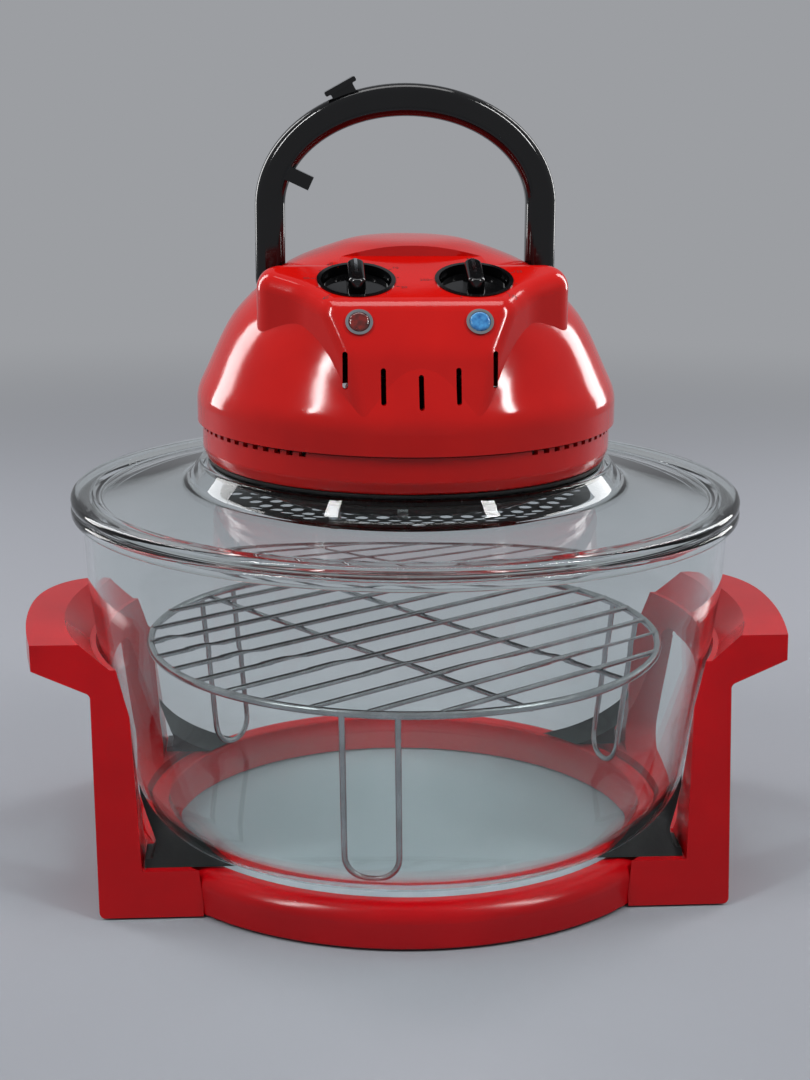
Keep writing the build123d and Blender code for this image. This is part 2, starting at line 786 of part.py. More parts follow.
with BuildPart() as upper_housing:
    add(dome_solid(0))
    with BuildSketch(Plane.YZ):
        with BuildLine():
            face_line = FilletPolyline(
                (panel_back_y, panel_top_z),
                (panel_knee_y, panel_knee_z),
                (panel_brow_y, panel_brow_z),
                (-dome_radius - 5, panel_brow_z - 18),
                radius=[14, 10],
            )
            Polyline(face_line @ 1, (-dome_radius - 5, dome_top + 5),
                     (panel_back_y, dome_top + 5), face_line @ 0)
        make_face()
    extrude(amount=dome_radius + 5, both=True, mode=Mode.SUBTRACT)
    add(panel_hood.part)
    add(housing_cavity.part, mode=Mode.SUBTRACT)
    with Locations((0, inlet_face, inlet_z)):
        Box(inlet_width + 2 * inlet_wall, 14, inlet_height + 2 * inlet_wall,
            align=(Align.CENTER, Align.MAX, Align.CENTER))
    # channels for the handle's legs, open to the side and the rear
    for sx in (1, -1):
        with Locations((sx * channel_inner, channel_front, channel_floor)):
            Box(60, 150, 60, align=(Align.MIN if sx > 0 else Align.MAX, Align.MIN, Align.MIN),
                mode=Mode.SUBTRACT)
        with Locations(Location((sx * channel_inner, handle_y, pivot_z), (0, 90, 0))):
            Cylinder(pivot_pin_radius + shaft_gap, 12, mode=Mode.SUBTRACT)
    # knob dishes with their shaft holes
    for plane in knob_planes:
        with Locations(plane.location):
            Cone(dish_floor_radius, dish_radius, dish_depth, align=hang, mode=Mode.SUBTRACT)
            Cylinder(dish_radius, 4, align=base, mode=Mode.SUBTRACT)
            Cylinder(knob_shaft_radius + 0.6, 30, mode=Mode.SUBTRACT)
    for plane in lamp_planes:
        with Locations(plane.location):
            Cylinder(lamp_lens_radius + fit_gap, 16, mode=Mode.SUBTRACT)
    # upright air slots below the lamps
    with BuildSketch(Plane.XZ.offset(dome_radius - 40)):
        for column, (low, high) in enumerate(slot_spans):
            with Locations(((column - 2) * slot_pitch, (low + high) / 2)):
                SlotOverall(high - low, slot_width, rotation=90)
    extrude(amount=50, mode=Mode.SUBTRACT)
    with Locations(*[(x, y, seam_z) for x, y in on_circle(boss_circle, boss_angles)]):
        Cylinder(2 + fit_gap, screw_hole_top - seam_z, align=base, mode=Mode.SUBTRACT)
    with Locations((0, inlet_face, inlet_z)):
        Box(inlet_width + 2 * inlet_wall, 10, inlet_height + 2 * inlet_wall,
            align=(Align.CENTER, Align.MIN, Align.CENTER), mode=Mode.SUBTRACT)
        Box(inlet_width + 2 * fit_gap, 60, inlet_height + 2 * fit_gap,
            align=(Align.CENTER, Align.MAX, Align.CENTER), mode=Mode.SUBTRACT)
    with Locations((plunger_x, plunger_y, channel_floor)):
        Cylinder(plunger_radius + shaft_gap, 10, mode=Mode.SUBTRACT)
upper_housing.part.label = "upper_housing"

# ---------------------------------------------------------------- knobs and lamps
def well_liner(plane):
    """A thin sleeve standing in a knob's dish, with a rim over the dish's edge."""
    with BuildPart() as liner:
        with Locations(plane.location):
            Cylinder(dish_radius + liner_rim_width, liner_rim_height, align=base)
            Cone(dish_floor_radius - fit_gap, dish_radius - fit_gap, dish_depth, align=hang)
            Cone(dish_floor_radius - liner_wall, dish_radius - liner_wall, dish_depth,
                 align=hang, mode=Mode.SUBTRACT)
            Cylinder(dish_radius - liner_wall, liner_rim_height, align=base, mode=Mode.SUBTRACT)
    return liner


def control_knob(plane):
    """A skirted knob with a bar grip and a stub shaft, standing in its dish."""
    seat = plane.offset(-dish_depth + running_gap)
    with BuildPart() as knob:
        with BuildSketch(seat):
            Circle(knob_radius)
        extrude(amount=knob_skirt, taper=6)
        with BuildSketch(seat.offset(knob_skirt)):
            SlotOverall(2 * knob_radius - 5, grip_width, rotation=90)
        extrude(amount=grip_height - knob_skirt, taper=4)
        fillet(knob.faces().sort_by(Axis((0, 0, 0), plane.z_dir))[-1].edges(), 1.5)
        with Locations(seat.location * Location((0, pointer_middle, grip_height))):
            Box(pointer_width + fit_gap, pointer_length + fit_gap, 1.0, align=hang, mode=Mode.SUBTRACT)
        with Locations(seat.location):
            Cylinder(knob_shaft_radius, knob_shaft_length, align=hang)
    return knob


def knob_pointer(plane):
    seat = plane.offset(-dish_depth + running_gap)
    with BuildPart() as pointer:
        with Locations(seat.location * Location((0, pointer_middle, grip_height + 0.2))):
            Box(pointer_width, pointer_length, 1.2, align=hang)
    return pointer


def control_unit(plane):
    """The clockwork timer or thermostat behind a knob."""
    with BuildPart() as unit:
        with BuildSketch(plane.offset(unit_top)):
            RectangleRounded(unit_size, unit_size, unit_corner)
        extrude(amount=-unit_depth)
        with Locations(plane.offset(unit_top).location):
            Cylinder(knob_shaft_radius + shaft_gap, 12, align=hang, mode=Mode.SUBTRACT)
    return unit


timer_well_liner = well_liner(timer_plane)
timer_well_liner.part.label = "timer_well_liner"
temperature_well_liner = well_liner(temperature_plane)
temperature_well_liner.part.label = "temperature_well_liner"
timer_knob = control_knob(timer_plane)
timer_knob.part.label = "timer_knob"
temperature_knob = control_knob(temperature_plane)
temperature_knob.part.label = "temperature_knob"
timer_pointer = knob_pointer(timer_plane)
timer_pointer.part.label = "timer_pointer"
temperature_pointer = knob_pointer(temperature_plane)
temperature_pointer.part.label = "temperature_pointer"
timer_unit = control_unit(timer_plane)
timer_unit.part.label = "timer_unit"
thermostat_unit = control_unit(temperature_plane)
thermostat_unit.part.label = "thermostat_unit"


def lamp_lens(plane):
    with BuildPart() as lens:
        with Locations(plane.location):
            Cylinder(lamp_lens_radius, 8, align=hang)
            Cylinder(lamp_lens_radius, 1.6, align=base)
        fillet(lens.faces().sort_by(Axis((0, 0, 0), plane.z_dir))[-1].edges(), 1.2)
    return lens


power_lamp_lens = lamp_lens(lamp_planes[0])
power_lamp_lens.part.label = "power_lamp_lens"
heat_lamp_lens = lamp_lens(lamp_planes[1])
heat_lamp_lens.part.label = "heat_lamp_lens"

with BuildPart() as lamp_bezels:
    with BuildSketch(*lamp_planes):
        Circle(lamp_bezel_radius)
        Circle(lamp_lens_radius + fit_gap, mode=Mode.SUBTRACT)
    extrude(amount=1.0)
lamp_bezels.part.label = "lamp_bezels"

# ---------------------------------------------------------------- carry handle
def arch_outline(half_width, top_z, foot_z):
    """Straight legs that turn into a flattened arch."""
    with Locations((0, handle_spring_z)):
        Ellipse(half_width, top_z - handle_spring_z)
    with Locations((0, (foot_z + handle_spring_z) / 2)):
        Rectangle(2 * half_width, handle_spring_z - foot_z)


leg_foot_z = pivot_z - handle_depth / 2
arch_height = handle_top_z - handle_spring_z
button_z = handle_spring_z + arch_height * sqrt(1 - (button_x / handle_half_width) ** 2)
button_plane = Plane(
    origin=(button_x, handle_y, button_z),
    x_dir=(cos(radians(button_tilt)), 0, sin(radians(button_tilt))),
    z_dir=(-sin(radians(button_tilt)), 0, cos(radians(button_tilt))),
)
with BuildPart() as handle_arch:
    with BuildSketch(Plane.XZ.offset(-handle_y)):
        arch_outline(handle_half_width, handle_top_z, leg_foot_z)
        with BuildSketch(mode=Mode.SUBTRACT):
            arch_outline(
                handle_half_width - handle_band, handle_top_z - handle_top_band, leg_foot_z - 5
            )
            with Locations((0, leg_foot_z - 50)):
                Rectangle(200, 100)
    extrude(amount=handle_depth / 2, both=True)
    fillet(handle_arch.faces().sort_by(Axis.Z)[:2].edges().filter_by(Axis.X), handle_depth / 2 - 0.2)
    arch_faces = handle_arch.faces().filter_by(Axis.Y)
    fillet(arch_faces.edges().filter_by_position(Axis.Z, pivot_z + 2, handle_top_z + 1), handle_edge)

with BuildPart() as cover_zone:
    with Locations((0, handle_y + handle_depth / 2 - handle_cover_depth, handle_cover_foot)):
        Box(200, 30, 200, align=(Align.CENTER, Align.MIN, Align.MIN))

with BuildPart() as button_pocket:
    with Locations(button_plane.location * Location((0, 0, 3))):
        Box(button_neck[0] + 2 * shaft_gap, button_neck[1] + 2 * shaft_gap, 15, align=hang)

with BuildPart() as handle_bow:
    add(handle_arch.part)
    add(cover_zone.part, mode=Mode.SUBTRACT)
    with Locations(Location((finger_x, handle_y - 2.5, finger_z), (0, -finger_angle, 0))):
        Box(14, 8, 7)
    for sx in (1, -1):
        with Locations(Location((sx * (handle_half_width - handle_band), handle_y, pivot_z), (0, 90, 0))):
            Cylinder(pivot_pin_radius + shaft_gap, 21, mode=Mode.SUBTRACT)
    add(button_pocket.part, mode=Mode.SUBTRACT)
handle_bow.part.label = "handle_bow"

with BuildPart() as handle_cover:
    add(handle_arch.part)
    add(cover_zone.part, mode=Mode.INTERSECT)
    add(button_pocket.part, mode=Mode.SUBTRACT)
handle_cover.part.label = "handle_cover"

with BuildPart() as handle_button:
    with Locations(button_plane.location * Location((0, 0, button_lift))):
        Box(button_neck[0], button_neck[1], 10, align=hang)
        Box(*button_plate, align=base)
    fillet(handle_button.edges().filter_by(Axis.Y), 0.8)
handle_button.part.label = "handle_button"

with BuildPart() as handle_pivot_pins:
    for sx in (1, -1):
        wall_inside = channel_inner - channel_wall
        with Locations(Location((sx * wall_inside, handle_y, pivot_z), (0, sx * 90, 0))):
            Cylinder(pivot_pin_radius, channel_wall + channel_gap + 9, align=base)
            Cylinder(pivot_pin_radius + 1, pin_head, align=hang)
handle_pivot_pins.part.label = "handle_pivot_pins"

# ---------------------------------------------------------------- lamp chamber
guard_top = guard_z + guard_sheet
clamp_low = clamp_top_z - clamp_sheet
with BuildPart() as guard_plate:
    with BuildSketch(Plane.XY.offset(guard_z)):
        Circle(guard_radius)
        for ring_radius, count in guard_rings:
            with PolarLocations(ring_radius, count):
                Circle(guard_hole_radius, mode=Mode.SUBTRACT)
        Circle(guard_hole_radius, mode=Mode.SUBTRACT)
        with Locations(*on_circle(standoff_circle, standoff_angles)):
            Circle(1.5 + fit_gap, mode=Mode.SUBTRACT)
    extrude(amount=guard_sheet)
guard_plate.part.label = "guard_plate"

with BuildPart() as guard_standoffs:
    with Locations(*[(x, y, guard_top) for x, y in on_circle(standoff_circle, standoff_angles)]):
        Cylinder(standoff_radius, clamp_low - guard_top, align=base)
        Cylinder(1.5 + fit_gap, 8, align=base, mode=Mode.SUBTRACT)
guard_standoffs.part.label = "guard_standoffs"

guard_screws = screws_at(
    on_circle(standoff_circle, standoff_angles), guard_z - 1.6, 3.0, 1.6, 1.5, 7.5
)
guard_screws.part.label = "guard_screws"

reflector_top = housing_floor_z - 1.0
reflector_low = reflector_top - dish_sheet
with BuildPart() as reflector_dish:
    with BuildSketch(Plane.XZ):
        with BuildLine():
            FilletPolyline(
                (9, reflector_low),
                (dish_rim_radius - 2.4, reflector_low),
                (dish_rim_radius - 1, reflector_low - 4),
                (dish_rim_radius, reflector_low - 4),
                (dish_rim_radius - 1.6, reflector_top),
                (9, reflector_top),
                radius=[0, 1, 0, 0, 2, 0],
                close=True,
            )
        make_face()
    revolve(axis=Axis.Z)
reflector_dish.part.label = "reflector_dish"

insulation_disc = turned_ring(9, lower_floor_bore - 0.5, reflector_top, floor_top_z)
insulation_disc.part.label = "insulation_disc"

chassis_top = floor_top_z + chassis_sheet
post_angles = [45, 135, 225, 315]
with BuildPart() as chassis_plate:
    with BuildSketch(Plane.XY.offset(floor_top_z)):
        Circle(chassis_radius - 3.5)
        Circle(9, mode=Mode.SUBTRACT)
        with PolarLocations(34, 6, start_angle=30):
            Circle(5, mode=Mode.SUBTRACT)
    extrude(amount=chassis_sheet)
chassis_plate.part.label = "chassis_plate"

lamp_end = 90 + lamp_gap_angle / 2
with BuildPart() as lamp_tube:
    with BuildSketch(Plane.XZ.rotated((0, 0, lamp_end))):
        with Locations((lamp_circle, lamp_z)):
            Circle(lamp_radius)
    revolve(axis=Axis.Z, revolution_arc=360 - lamp_gap_angle)
lamp_tube.part.label = "lamp_tube"

with BuildPart() as lamp_end_caps:
    for side in (-1, 1):
        angle = 90 + side * lamp_gap_angle / 2
        with Locations(Location((0, 0, 0), (0, 0, angle)) * Location((lamp_circle, 0, lamp_z))):
            with Locations(Location((0, -side * 5, 0), (90, 0, 0))):
                Cylinder(lamp_radius + 1.8, 12)
            with Locations((0, -side * 5, 0)):
                Box(5, 8, reflector_low - lamp_z, align=base)
    with BuildSketch(Plane.XZ.rotated((0, 0, lamp_end))):
        with Locations((lamp_circle, lamp_z)):
            Circle(lamp_radius + fit_gap)
    revolve(axis=Axis.Z, revolution_arc=360 - lamp_gap_angle, mode=Mode.SUBTRACT)
lamp_end_caps.part.label = "lamp_end_caps"

with BuildPart() as lamp_clips:
    for angle in (-95, -10, 190):
        with Locations(Location((0, 0, 0), (0, 0, angle)) * Location((lamp_circle, 0, lamp_z))):
            with Locations(Location((0, 0, 0), (90, 0, 0))):
                Cylinder(lamp_radius + 1.2, 5)
            Box(1.2, 5, reflector_low - lamp_z, align=base)
            with Locations(Location((0, 0, 0), (90, 0, 0))):
                Cylinder(lamp_radius + 0.2, 6, mode=Mode.SUBTRACT)
lamp_clips.part.label = "lamp_clips"

# ---------------------------------------------------------------- motor and fans
rotor_low = motor_plate_z + 4
stator_low = motor_plate_z + 1.5
stator_top = stator_low + stator_height
bush_radius = 6.0
shaft_low = guard_top + 1.4
nut_low = guard_top + 1.8
fan_hub_low = nut_low + 3.5
fan_hub_top = fan_hub_low + 10

with BuildPart() as motor_posts:
    with Locations(*[(x, y, chassis_top) for x, y in on_circle(motor_post_circle, post_angles)]):
        Cylinder(3.5, motor_plate_z - chassis_top, align=base)
motor_posts.part.label = "motor_posts"

with BuildPart() as motor_plate:
    with BuildSketch(Plane.XY.offset(motor_plate_z)):
        Circle(motor_plate_radius)
        with PolarLocations(38, 4):
            Circle(15, mode=Mode.SUBTRACT)
        with Locations((0, stator_size / 2 - 4.5)):
            Rectangle(28, 22, mode=Mode.SUBTRACT)
        Circle(bush_radius + fit_gap, mode=Mode.SUBTRACT)
    extrude(amount=1.5)
motor_plate.part.label = "motor_plate"

with BuildPart() as motor_stator:
    with BuildSketch(Plane.XY.offset(stator_low)):
        Rectangle(stator_size, stator_size)
        Circle(rotor_radius + 0.4, mode=Mode.SUBTRACT)
        with Locations((0, stator_size / 2 - 12)):
            Rectangle(30, 6, mode=Mode.SUBTRACT)
    extrude(amount=stator_height)
motor_stator.part.label = "motor_stator"

with BuildPart() as motor_coil:
    limb = 9.0
    with Locations((0, stator_size / 2 - limb / 2, stator_low + stator_height / 2)):
        Box(24, limb + 8, stator_height + 8 - 4)
        Box(26, limb + 0.2, stator_height + 0.2, mode=Mode.SUBTRACT)
motor_coil.part.label = "motor_coil"

with BuildPart() as motor_bracket:
    with BuildSketch(Plane.XY.offset(stator_top)):
        Rectangle(stator_size, 16)
        Circle(bush_radius + fit_gap, mode=Mode.SUBTRACT)
    extrude(amount=1.5)
motor_bracket.part.label = "motor_bracket"

with BuildPart() as shaft_bushes:
    with Locations((0, 0, motor_plate_z - 1), (0, 0, stator_top - 1.5)):
        Cylinder(bush_radius, 4.5, align=base)
        Cylinder(shaft_radius + shaft_gap, 4.5, align=base, mode=Mode.SUBTRACT)
shaft_bushes.part.label = "shaft_bushes"

with BuildPart() as motor_shaft:
    with Locations((0, 0, shaft_low)):
        Cylinder(shaft_radius, stator_top + 4 - shaft_low, align=base)
motor_shaft.part.label = "motor_shaft"

with BuildPart() as motor_rotor:
    with Locations((0, 0, rotor_low)):
        Cylinder(rotor_radius, stator_height - 5.5, align=base)
        Cylinder(shaft_radius + press_gap, stator_height, align=base, mode=Mode.SUBTRACT)
motor_rotor.part.label = "motor_rotor"

with BuildPart() as cooling_fan:
    with Locations((0, 0, chassis_top + 3)):
        Cylinder(cooling_hub_radius, 9, align=base)
        blade_root = cooling_hub_radius - 4  # the blades start inside the hub
        blade_seat = Location(((blade_root + cooling_fan_radius) / 2, 0, 4.5), (cooling_blade_pitch, 0, 0))
        for blade in range(cooling_blade_count):
            with Locations(Location((0, 0, 0), (0, 0, blade * 360 / cooling_blade_count)) * blade_seat):
                Box(cooling_fan_radius - blade_root, cooling_blade_width, 1.2)
        Cylinder(shaft_radius + press_gap, 20, mode=Mode.SUBTRACT)
cooling_fan.part.label = "cooling_fan"

with BuildPart() as hot_air_fan:
    with Locations((0, 0, fan_hub_low)):
        Cylinder(hot_hub_radius, fan_hub_top - fan_hub_low, align=base)
        Cylinder(hot_fan_radius, 1.0, align=base)
        with PolarLocations((hot_hub_radius + hot_fan_radius) / 2, hot_blade_count):
            Box(hot_fan_radius - hot_hub_radius - 6, 1.0, hot_blade_height, align=base)
        Cylinder(shaft_radius + press_gap, 20, align=base, mode=Mode.SUBTRACT)
hot_air_fan.part.label = "hot_air_fan"

with BuildPart() as fan_nut:
    with BuildSketch(Plane.XY.offset(nut_low)):
        RegularPolygon(4.4, 6)
        Circle(shaft_radius + press_gap, mode=Mode.SUBTRACT)
    extrude(amount=fan_hub_low - nut_low)
fan_nut.part.label = "fan_nut"

# ---------------------------------------------------------------- switch and inlet
with BuildPart() as safety_switch:
    with Locations((plunger_x + 2.5, plunger_y, channel_floor - channel_wall - 0.1)):
        Box(11, 13, 12, align=hang)
    with Locations((plunger_x, plunger_y, channel_floor)):
        Cylinder(plunger_radius + shaft_gap, 11.5, align=hang, mode=Mode.SUBTRACT)
safety_switch.part.label = "safety_switch"

with BuildPart() as switch_plunger:
    with Locations((plunger_x, plunger_y, leg_foot_z + plunger_travel - 0.2)):
        Cylinder(plunger_radius, 12, align=hang)
switch_plunger.part.label = "switch_plunger"

with BuildPart() as terminal_block:
    with Locations((26, 66, chassis_top)):
        Box(24, 12, 10, align=base)
terminal_block.part.label = "terminal_block"

with BuildPart() as mains_inlet:
    with Locations((0, inlet_face, inlet_z)):
        Box(inlet_width, inlet_depth, inlet_height, align=(Align.CENTER, Align.MAX, Align.CENTER))
        Box(inlet_width + 4, 1.4, inlet_height + 4, align=(Align.CENTER, Align.MIN, Align.CENTER))
    with Locations((0, inlet_face + 1.4, inlet_z)):
        Box(inlet_width - 6, inlet_depth - 2, inlet_height - 6,
            align=(Align.CENTER, Align.MAX, Align.CENTER), mode=Mode.SUBTRACT)
mains_inlet.part.label = "mains_inlet"

with BuildPart() as inlet_pins:
    floor_y = inlet_face + 1.4 - (inlet_depth - 2)
    pin_places = [(-7, -2), (0, 4), (7, -2)]
    with Locations(*[Location((x, floor_y, inlet_z + dz), (-90, 0, 0)) for x, dz in pin_places]):
        Cylinder(1.9, 11, align=base)
inlet_pins.part.label = "inlet_pins"

# ---------------------------------------------------------------- files
stand_pieces = [
    base_ring, right_side_frame, left_side_frame, front_right_cradle, front_left_cradle,
    rear_right_cradle, rear_left_cradle, rubber_feet, frame_screws, glass_bowl, wire_rack,
]
lid_pieces = [
    glass_lid, lid_gasket, clamp_ring, clamp_screws, lower_housing, housing_screws, upper_housing,
    timer_well_liner, temperature_well_liner, timer_knob, temperature_knob, timer_pointer,
    temperature_pointer, timer_unit, thermostat_unit, power_lamp_lens, heat_lamp_lens, lamp_bezels,
    handle_bow, handle_cover, handle_button, handle_pivot_pins, guard_plate, guard_standoffs,
    guard_screws, reflector_dish, insulation_disc, chassis_plate, lamp_tube, lamp_end_caps,
    lamp_clips, motor_posts, motor_plate, motor_stator, motor_coil, motor_bracket, shaft_bushes,
    motor_shaft, motor_rotor, cooling_fan, hot_air_fan, fan_nut, safety_switch, switch_plunger,
    terminal_block, mains_inlet, inlet_pins,
]
for piece in stand_pieces + lid_pieces:
    export_step(piece.part, f"parts/{piece.part.label}.step")
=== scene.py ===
import bpy
from math import atan2, cos, floor, hypot, pi, radians, sin, tan
from mathutils import Matrix, Vector


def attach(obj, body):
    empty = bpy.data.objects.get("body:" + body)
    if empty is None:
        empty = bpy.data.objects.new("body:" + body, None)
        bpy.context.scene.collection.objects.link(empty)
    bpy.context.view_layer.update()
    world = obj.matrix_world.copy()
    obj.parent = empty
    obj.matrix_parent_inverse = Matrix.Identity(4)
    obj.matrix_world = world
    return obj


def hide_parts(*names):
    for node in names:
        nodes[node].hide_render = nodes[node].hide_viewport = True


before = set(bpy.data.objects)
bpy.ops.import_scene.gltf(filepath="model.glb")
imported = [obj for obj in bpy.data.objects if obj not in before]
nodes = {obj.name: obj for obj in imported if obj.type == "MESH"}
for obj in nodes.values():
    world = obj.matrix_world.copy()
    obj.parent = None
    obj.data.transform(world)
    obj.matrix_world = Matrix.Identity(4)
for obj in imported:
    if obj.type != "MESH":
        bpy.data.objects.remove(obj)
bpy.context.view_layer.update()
print("stage: frame loaded with", len(nodes), "solids")

mm = 0.001


def linearFromHex(hexText):
    # a colour as it is written on screen, made linear for the shaders
    channels = [int(hexText[i:i + 2], 16) / 255 for i in (1, 3, 5)]
    return tuple(c / 12.92 if c <= 0.04045 else ((c + 0.055) / 1.055) ** 2.4 for c in channels) + (1.0,)


def addNode(tree, kind, settings=None, links=None):
    # settings name sockets first and node properties second
    node = tree.nodes.new(kind)
    for name, value in (settings or {}).items():
        if hasattr(node, str(name)):
            setattr(node, name, value)
        else:
            node.inputs[name].default_value = value
    for name, source in (links or {}).items():
        tree.links.new(source, node.inputs[name])
    return node


def emptyMaterial(name):
    material = bpy.data.materials.new(name)
    material.use_nodes = True
    material.node_tree.nodes.clear()
    output = material.node_tree.nodes.new("ShaderNodeOutputMaterial")
    return material, material.node_tree, output


def perMetre(featureMm):
    # noise scale that gives features of this size
    return 1000 / featureMm


def mottledColour(tree, coords, dark, light, featureMm):
    # a colour that drifts between two close values
    noise = addNode(tree, "ShaderNodeTexNoise", {"Scale": perMetre(featureMm), "Detail": 3.0},
                    {"Vector": coords})
    ramp = addNode(tree, "ShaderNodeValToRGB", {}, {"Fac": noise.outputs["Fac"]})
    ramp.color_ramp.elements[0].position = 0.3
    ramp.color_ramp.elements[1].position = 0.7
    ramp.color_ramp.elements[0].color = linearFromHex(dark)
    ramp.color_ramp.elements[1].color = linearFromHex(light)
    return ramp.outputs["Color"]


def noiseRange(tree, coords, featureMm, low, high):
    # a value that wanders between two limits, as handling and moulding leave a surface
    noise = addNode(tree, "ShaderNodeTexNoise", {"Scale": perMetre(featureMm), "Detail": 4.0},
                    {"Vector": coords})
    spread = addNode(tree, "ShaderNodeMapRange", {
        "From Min": 0.3, "From Max": 0.7, "To Min": low, "To Max": high,
    }, {"Value": noise.outputs["Fac"]})
    return spread.outputs["Result"]


def noiseBump(tree, coords, featureMm, heightMm):
    # a real height in mm, so the relief stays as shallow as it is
    noise = addNode(tree, "ShaderNodeTexNoise", {"Scale": perMetre(featureMm), "Detail": 2.0},
                    {"Vector": coords})
    bump = addNode(tree, "ShaderNodeBump", {"Strength": 1.0, "Distance": heightMm * mm},
                   {"Height": noise.outputs["Fac"]})
    return bump.outputs["Normal"]


def mixedByRay(tree, first, second, share):
    mix = addNode(tree, "ShaderNodeMixShader", {}, {"Fac": share})
    tree.links.new(first, mix.inputs[1])
    tree.links.new(second, mix.inputs[2])
    return mix.outputs["Shader"]


def mouldedPlastic(name, look):
    # injection-moulded plastic: even colour, faint flow mottling, gloss broken by a slight ripple
    material, tree, output = emptyMaterial(name)
    coords = addNode(tree, "ShaderNodeTexCoord").outputs["Object"]
    shader = addNode(tree, "ShaderNodeBsdfPrincipled", {"IOR": look["ior"]}, {
        "Base Color": mottledColour(tree, coords, look["dark"], look["light"], look["mottleMm"]),
        "Roughness": noiseRange(tree, coords, look["smearMm"], look["roughLow"], look["roughHigh"]),
        "Normal": noiseBump(tree, coords, look["rippleMm"], look["rippleHeightMm"]),
    })
    shader.inputs["Specular IOR Level"].default_value = look.get("gloss", 0.5)  # 0.5 is bare, fresh plastic
    tree.links.new(shader.outputs["BSDF"], output.inputs["Surface"])
    return material


def workedMetal(name, look):
    # bare or plated metal: tinted, with a fine surface that smears highlights a little
    material, tree, output = emptyMaterial(name)
    coords = addNode(tree, "ShaderNodeTexCoord").outputs["Object"]
    shader = addNode(tree, "ShaderNodeBsdfPrincipled", {"Metallic": 1.0}, {
        "Base Color": mottledColour(tree, coords, look["dark"], look["light"], look["mottleMm"]),
        "Roughness": noiseRange(tree, coords, look["smearMm"], look["roughLow"], look["roughHigh"]),
        "Normal": noiseBump(tree, coords, look["grainMm"], look["grainHeightMm"]),
    })
    tree.links.new(shader.outputs["BSDF"], output.inputs["Surface"])
    return material


def clearGlass(name, look):
    # pressed and tempered glass: clear, with a faint cast and slow waves from the mould
    material, tree, output = emptyMaterial(name)
    coords = addNode(tree, "ShaderNodeTexCoord").outputs["Object"]
    shader = addNode(tree, "ShaderNodeBsdfPrincipled", {
        "IOR": look["ior"], "Transmission Weight": 1.0,
        "Roughness": look["rough"], "Specular IOR Level": look["gloss"],
    }, {
        "Base Color": mottledColour(tree, coords, look["dark"], look["light"], look["mottleMm"]),
        "Normal": noiseBump(tree, coords, look["waveMm"], look["waveHeightMm"]),
    })
    passLamps = addNode(tree, "ShaderNodeBsdfTransparent", {"Color": linearFromHex(look["shadow"])})
    shadowRay = addNode(tree, "ShaderNodeLightPath").outputs["Is Shadow Ray"]  # lets the lamps reach inside
    mixed = mixedByRay(tree, shader.outputs["BSDF"], passLamps.outputs["BSDF"], shadowRay)
    tree.links.new(mixed, output.inputs["Surface"])
    return material


redLook = {"dark": "#9C020A", "light": "#A8040C", "mottleMm": 38, "smearMm": 24, "roughLow": 0.16,
           "roughHigh": 0.25, "rippleMm": 9, "rippleHeightMm": 0.03, "ior": 1.5, "gloss": 0.3}
redAbs = mouldedPlastic("red_abs_injection_moulded_gloss", redLook)  # deep red, soft-edged highlights

# the head's shells come off a polished tool in a warmer batch: crisper highlights, a touch of orange
headLook = dict(redLook, dark="#AE0804", light="#BA0C05", roughLow=0.08, roughHigh=0.15, gloss=0.4)
headAbs = mouldedPlastic("scarlet_abs_injection_moulded_gloss", headLook)

# pressed resin: near black and wet looking, with a slow ripple in the reflections
blackGlossLook = {"dark": "#050506", "light": "#09090A", "mottleMm": 30, "smearMm": 18, "roughLow": 0.07,
                  "roughHigh": 0.13, "rippleMm": 8, "rippleHeightMm": 0.025, "ior": 1.56, "gloss": 0.4}
blackPhenolic = mouldedPlastic("black_phenolic_compression_moulded_gloss", blackGlossLook)

# glass filling dulls the skin to satin and leaves a fine pimple, drawn coarser than it is so that it shows
blackMatteLook = {"dark": "#070708", "light": "#0D0D0E", "mottleMm": 12, "smearMm": 10, "roughLow": 0.38,
                  "roughHigh": 0.5, "rippleMm": 1.6, "rippleHeightMm": 0.04, "ior": 1.5, "gloss": 0.3}
blackNylon = mouldedPlastic("black_glass_filled_nylon_moulded_satin", blackMatteLook)
whiteNylon = mouldedPlastic("natural_nylon_moulded", dict(blackMatteLook, dark="#CFCBC0", light="#DDD9CE"))

# rubber gives no highlight, only a broad grey sheen
siliconeLook = dict(blackMatteLook, dark="#0E0E0F", light="#161617", roughLow=0.6, roughHigh=0.75, ior=1.43)
blackSilicone = mouldedPlastic("black_silicone_rubber_pressed", siliconeLook)

# fired ceramic: chalky cream, slightly polished where it was pressed
steatiteLook = dict(blackMatteLook, dark="#D8D2C4", light="#E6E1D6", roughLow=0.3, roughHigh=0.45, ior=1.6)
steatite = mouldedPlastic("white_steatite_ceramic_pressed", steatiteLook)

# felted fibre: dry, flecked and lumpy
fibreLook = dict(blackMatteLook, dark="#B3AB9A", light="#C9C2B2", mottleMm=3, rippleMm=1.2,
                 rippleHeightMm=0.2, roughLow=0.8, roughHigh=0.95)
fibreBoard = mouldedPlastic("mineral_fibre_board_pressed", fibreLook)

# turns of wire under varnish: orange brown, ribbed at the wire's spacing
copperWinding = workedMetal("enamelled_copper_wire_wound", {
    "dark": "#8A3E18", "light": "#A8562A", "mottleMm": 1.5, "smearMm": 3, "roughLow": 0.3, "roughHigh": 0.45,
    "grainMm": 0.8, "grainHeightMm": 0.12})

# bright plating: mirrors the room, broken a little by the wire under it
chromePlate = workedMetal("chromium_plated_wire_bright", {
    "dark": "#C3C5C8", "light": "#D6D8DA", "mottleMm": 20, "smearMm": 12, "roughLow": 0.06, "roughHigh": 0.14,
    "grainMm": 3, "grainHeightMm": 0.01})

